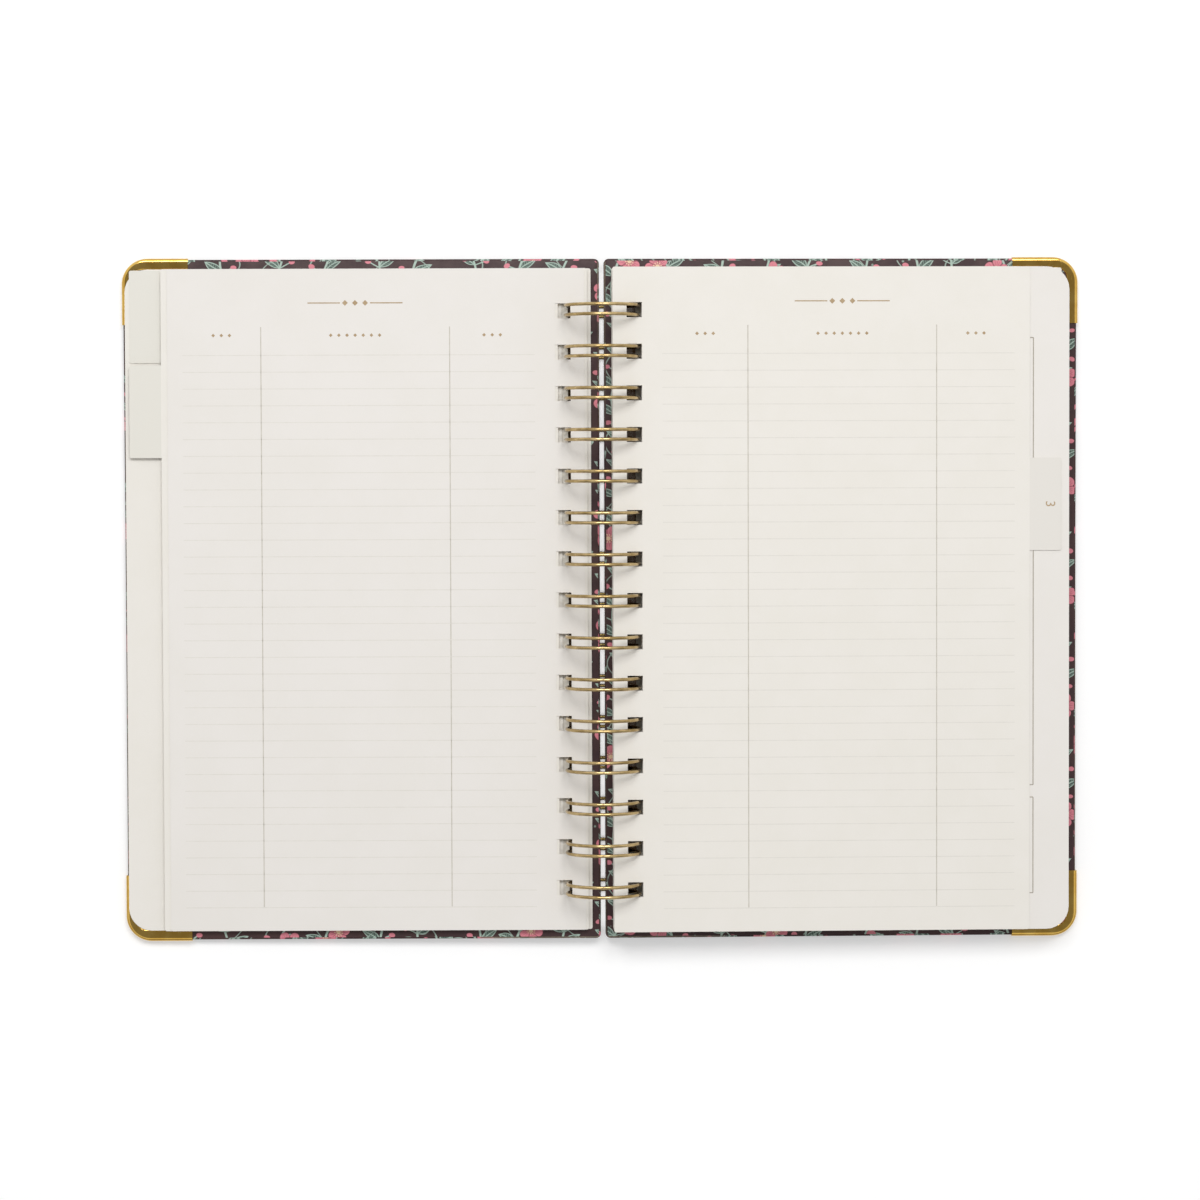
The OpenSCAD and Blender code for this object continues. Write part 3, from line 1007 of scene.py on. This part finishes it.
def markNodes():
    # a row of flat bars or turned squares
    tree, source, sink = newNodes("printedMarks", [
        ("Count", "Int", 1), ("Start", "Vector", None), ("Step", "Vector", None), ("Size", "Vector", None),
        ("Turn", "Float", 0.0)])
    line = addNode(tree, "GeometryNodeMeshLine",
                   {"Count": source["Count"], "Start Location": source["Start"], "Offset": source["Step"]})
    bar = addNode(tree, "GeometryNodeMeshCube", {"Size": source["Size"]})
    turn = addNode(tree, "ShaderNodeCombineXYZ", {"Z": source["Turn"]})
    marks = addNode(tree, "GeometryNodeInstanceOnPoints",
                    {"Points": line.outputs[0], "Instance": bar.outputs[0], "Rotation": turn.outputs[0]})
    endNodes(tree, source, sink, marks.outputs[0])
    return tree


markTree = markNodes()


def printMarks(name, page, half, body, ink, middle, size, count=1, step=(0, 0), turn=0.0, under=False):
    # middle, size and step in millimetres on the page's upper or under side
    low, high = flatBox(page, half)
    start = Vector((low.x + middle[0] / 1000, middle[1] / 1000, low.z if under else high.z))
    piece = addObject(name, bpy.data.meshes.new(name))
    runNodes(piece, markTree, Count=count, Start=start, Step=Vector((*step, 0)) / 1000,
             Size=Vector((size[0] / 1000, size[1] / 1000, 2 * printLayout["ink"])), Turn=math.radians(turn),
             Material=inks[ink])
    layDown(piece, half)
    return settle(piece, body, "page_paper")


def printDiamonds(name, leaf, middle, height, count, spread, size, under):
    # a centred row of turned squares
    printMarks(name, *leaf, "title", (middle - (count - 1) / 2 * spread, height), (size, size), count,
               (spread, 0), printLayout["markTurn"], under)


def printTitle(side, leaf, title, under=False):
    printMarks(side + "TitleLines", *leaf, "title", (title["at"] - title["lineAway"], title["height"]),
               title["line"], 2, (2 * title["lineAway"], 0), under=under)
    printDiamonds(side + "TitleMarks", leaf, title["at"], title["height"], title["marks"], title["spread"],
                  title["size"], under)


def printBox(name, leaf, ink, left, right, top, bottom, width):
    across, down = right - left, top - bottom
    printMarks(name + "Sides", *leaf, ink, (left, (top + bottom) / 2), (width, down), 2, (across, 0))
    printMarks(name + "Ends", *leaf, ink, ((left + right) / 2, bottom), (across, width), 2, (0, down))


def printList(side, leaf, layout, under=False):
    rows, columns, heads = (layout[key] for key in ("rows", "columns", "heads"))
    middle, length = (rows["from"] + rows["to"]) / 2, rows["to"] - rows["from"]
    printMarks(side + "Rows", *leaf, "rule", (middle, rows["first"]), (length, rows["width"]),
               rows["count"], (0, rows["step"]), under=under)
    first, last = columns["at"]
    printMarks(side + "Columns", *leaf, "line", (first, (columns["from"] + columns["to"]) / 2),
               (columns["width"], columns["from"] - columns["to"]), 2, (last - first, 0), under=under)
    printTitle(side, leaf, layout["title"], under)
    for i, (place, count) in enumerate(zip(heads["at"], heads["marks"])):
        printDiamonds(side + "Head" + str(i + 1), leaf, place, heads["height"], count, heads["spread"],
                      heads["size"], under)


def printPlanner(leaf, layout):
    boxes, days = layout["boxes"], layout["days"]
    for i, (top, bottom) in enumerate(boxes["spans"]):
        printBox("plannerBox" + str(i + 1), leaf, "boxLine", boxes["from"], boxes["to"], top, bottom,
                 boxes["width"])
    top, bottom = boxes["spans"][0]
    step = (bottom - top) / (days["count"] + 1)
    printMarks("plannerDays", *leaf, "line", ((days["from"] + days["to"]) / 2, top + step),
               (days["to"] - days["from"], days["width"]), days["count"], (0, step))
    printTitle("planner", leaf, layout["title"])


def printSection(leaf, layout):
    values = layout["section"]
    printBox("section", leaf, "line", values["from"], values["to"], values["top"], values["bottom"],
             values["width"])
    middle = (values["from"] + values["to"]) / 2
    printTitle("section", leaf, layout["title"] | {"at": middle, "height": values["height"]})


# node, half and body of each printed leaf
printedLeaves = {
    "leftPage": ("left_page", "front", "left_page"),
    "rightPage": ("tab_leaf_3", "back", "right_page"),
    "planner": ("planner_leaf", "back", "page_block"),
    "section": ("tab_leaf_2", "front", "front_leaves"),
}
for side in ("leftPage", "rightPage"):
    printList(side, printedLeaves[side], printLayout)
    printList(side + "Reverse", printedLeaves[side], printLayout, True)
printPlanner(printedLeaves["planner"], printLayout)
printSection(printedLeaves["section"], printLayout)

# Numeral on the tab, in metres and degrees, and the tab's place among all places
tabNumeral = {
    "text": "3",
    "size": 0.0042,
    "depth": 0.00002,
    "fromEdge": 0.0036,
    "turn": -90.0,
    "position": 3,
    "tabs": 7,
}


def numberTab(page, half, body, values):
    # a plain numeral that reads down the tab
    low, high = flatBox(page, half)
    letters = bpy.data.curves.new("tabNumeral", "FONT")
    letters.body = values["text"]
    letters.size = values["size"]
    letters.align_x = letters.align_y = "CENTER"
    letters.extrude = values["depth"]
    source = addObject("tabNumeralSource", letters)
    mesh = plainMesh(source)
    bpy.data.objects.remove(source)
    fromTop = (values["position"] - 0.5) * (high.y - low.y) / values["tabs"]
    place = Vector((high.x - values["fromEdge"], high.y - fromTop, high.z))
    mesh.transform(Matrix.Translation(place) @ Matrix.Rotation(math.radians(values["turn"]), 4, "Z"))
    piece = layDown(addObject("tabNumeral" + values["text"], mesh, inks["title"]), half)
    return settle(piece, body, "tab_card")


numberTab("tab_leaf_3", "back", "right_page", tabNumeral)
print("planner: pages printed")


# Table, studio light and camera
studio = {
    "floorSize": 12.0,
    "floorDrop": 0.0001,
    "floorColour": "#e0e0e0",
    # the table's colour where painted shade lies deep under the object
    "floorPaintedShade": "#2a1f12",
    "floorRoughness": 0.9,
    "floorShine": 0.1,
    "floorGlow": 0.33,
    "glowReach": (0.35, 1.1),
    "glowTint": "#ffffff",
    "shelter": (0.035, 0.085),
    "shelterSamples": 32,
    "shelterReach": 0.03,
    # painted light in the slot between the covers: how open, how wide and how bright
    "slotShelter": (0.2, 0.4),
    "slotWidth": (0.0015, 0.003),
    "slotGlow": 0.35,
    # the glow level and its colour where painted shade lies deep under the object
    "paintedShadeGlow": 0.22,
    "paintedShadeTint": "#7a5218",
    "skyLevel": 0.5,
    "horizon": (0.4, 1.1),
    "horizonReach": (-0.7, 0.7),
    "ring": 1.1,
    "ringHeight": (0.6, 0.82),
    "zenith": 0.3,
    "zenithHeight": (0.935, 0.975),
    "lampPlaces": ((-0.24, 0.62, 1.25), (0.24, 0.62, 1.25)),
    "lampAim": (0.0, 0.0, 0.0),
    "lampSize": (0.4, 0.5),
    "lampPower": 5.75,
    "cameraPlace": (-0.0262, 0.0384, 1.12),
    "cameraTurn": (-1.976, -1.316, -0.181),
    "lens": 108.36,
    "sensor": 36.0,
}


def layFloor(values):
    reach = values["floorSize"] / 2
    bm = bmesh.new()
    corners = ((-reach, -reach), (reach, -reach), (reach, reach), (-reach, reach))
    bm.faces.new([bm.verts.new((x, y, -values["floorDrop"])) for x, y in corners])
    material, tree, shader = newMaterial("paleTable", values["floorRoughness"], specular=values["floorShine"])
    # a little light of its own where the camera, metal or glass sees it, more of it away from the object
    path = tree.nodes.new("ShaderNodeLightPath")
    seen = calc(tree, "ADD", path.outputs["Is Camera Ray"], path.outputs["Is Glossy Ray"])
    seen = calc(tree, "ADD", seen, path.outputs["Is Transmission Ray"])
    away = addNode(tree, "ShaderNodeVectorMath", {0: coords(tree)}, operation="LENGTH")
    glow = ramp(tree, away.outputs["Value"], *values["glowReach"], values["floorGlow"], 1.0)
    # painted shade: deep under the object, where little is open around it, the table's colour and glow turn
    # dark and brown
    shelter = addNode(tree, "ShaderNodeAmbientOcclusion", {"Distance": values["shelterReach"]},
                      samples=values["shelterSamples"])
    openness = shelter.outputs["AO"]
    clear = ramp(tree, openness, *values["shelter"])
    lit = ramp(tree, openness, *values["shelter"], values["paintedShadeGlow"], 1.0)
    # painted light: the table glows brighter in the narrow slot between the covers
    across = calc(tree, "ABSOLUTE", axes(tree, coords(tree))[0])
    slot = calc(tree, "MULTIPLY", ramp(tree, across, *values["slotWidth"], values["slotGlow"], 0.0),
                ramp(tree, openness, *values["slotShelter"], 1.0, 0.0))
    glow = calc(tree, "MULTIPLY", calc(tree, "ADD", glow, slot), lit)
    feed(tree, shader.inputs["Base Color"],
         blendColour(tree, clear, colour(values["floorPaintedShade"]), colour(values["floorColour"])))
    feed(tree, shader.inputs["Emission Color"],
         blendColour(tree, clear, colour(values["paintedShadeTint"]), colour(values["glowTint"])))
    feed(tree, shader.inputs["Emission Strength"], calc(tree, "MULTIPLY", seen, glow))
    addObject("table", meshFrom("table", bm), material)


def lightSky(values):
    world = bpy.data.worlds.new("softRoom")
    world.use_nodes = True
    scene.world = world
    tree = world.node_tree
    background = tree.nodes["Background"]
    # metal sees a room that is darker in front than behind, with a light ring overhead around a dark middle
    direction = axes(tree, coords(tree, "Generated"))
    sides = ramp(tree, direction[1], *values["horizonReach"], *values["horizon"])
    ring = ramp(tree, direction[2], *values["ringHeight"], sides, values["ring"])
    room = ramp(tree, direction[2], *values["zenithHeight"], ring, values["zenith"])
    path = tree.nodes.new("ShaderNodeLightPath")
    level = calc(tree, "MULTIPLY_ADD", path.outputs["Is Glossy Ray"],
                 calc(tree, "SUBTRACT", room, values["skyLevel"]), values["skyLevel"])
    level = calc(tree, "MULTIPLY_ADD", path.outputs["Is Camera Ray"], 1 - values["skyLevel"], level)
    feed(tree, background.inputs["Strength"], level)
    background.inputs["Color"].default_value = (1, 1, 1, 1)


def hangLamps(values):
    lamp = bpy.data.lights.new("softbox", "AREA")
    lamp.shape = "RECTANGLE"
    lamp.size, lamp.size_y = values["lampSize"]
    lamp.energy = values["lampPower"]
    for place in values["lampPlaces"]:
        holder = addObject("softbox", lamp)
        holder.location = place
        towards = Vector(values["lampAim"]) - Vector(place)
        holder.rotation_euler = towards.to_track_quat("-Z", "Y").to_euler()


def setCamera(values):
    view = bpy.data.cameras.new("above")
    view.lens = values["lens"]
    view.sensor_width = values["sensor"]
    holder = addObject("above", view)
    holder.location = values["cameraPlace"]
    holder.rotation_euler = [math.radians(angle) for angle in values["cameraTurn"]]
    scene.camera = holder


layFloor(studio)
lightSky(studio)
hangLamps(studio)
setCamera(studio)
scene.view_settings.view_transform = "Standard"

print("planner: lit and framed")
